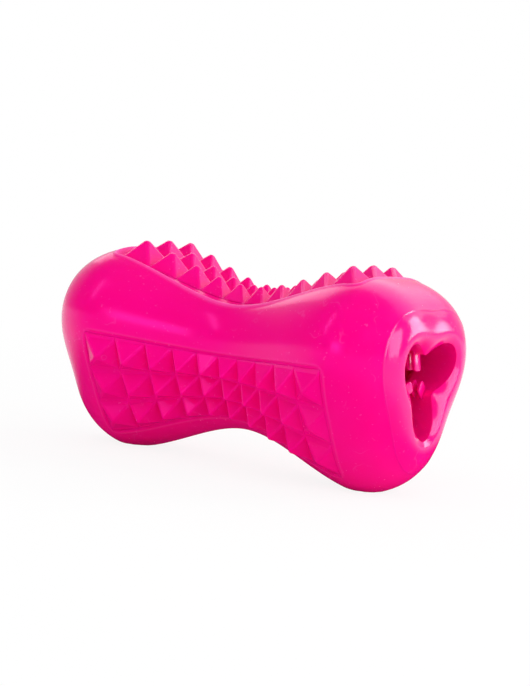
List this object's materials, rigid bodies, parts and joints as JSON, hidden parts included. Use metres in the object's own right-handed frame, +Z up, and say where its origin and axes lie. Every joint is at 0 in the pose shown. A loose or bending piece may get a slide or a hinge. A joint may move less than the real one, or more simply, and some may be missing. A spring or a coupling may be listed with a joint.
{
  "type": "bone-shaped dog toy",
  "caption": "Hollow bone-shaped rubber chew toy with lobed ends, a narrow waist, studded side panels and a three-lobed treat mouth in each dished end.",
  "frame": {"origin": "under the middle of the toy, on the surface it stands on", "axes": "+X along the bone towards the end seen on the right of the picture, +Z up through the coarse-stud side, -Y towards the front fine-stud side"},
  "size_m": [0.115, 0.0664, 0.0629],
  "materials": {
    "body": "glossy soft rubber, slightly translucent",
    "end_cap": "glossy soft rubber, slightly translucent",
    "coarse_studs": "satin soft rubber, slightly translucent",
    "fine_studs": "glossy soft rubber, slightly translucent"
  },
  "bodies": {
    "root": {"body_shell": "body", "right_end_cap": "end_cap", "left_end_cap": "end_cap", "coarse_stud_panel": "coarse_studs", "fine_stud_panel_front": "fine_studs", "fine_stud_panel_under": "fine_studs"}
  },
  "joints": []
}
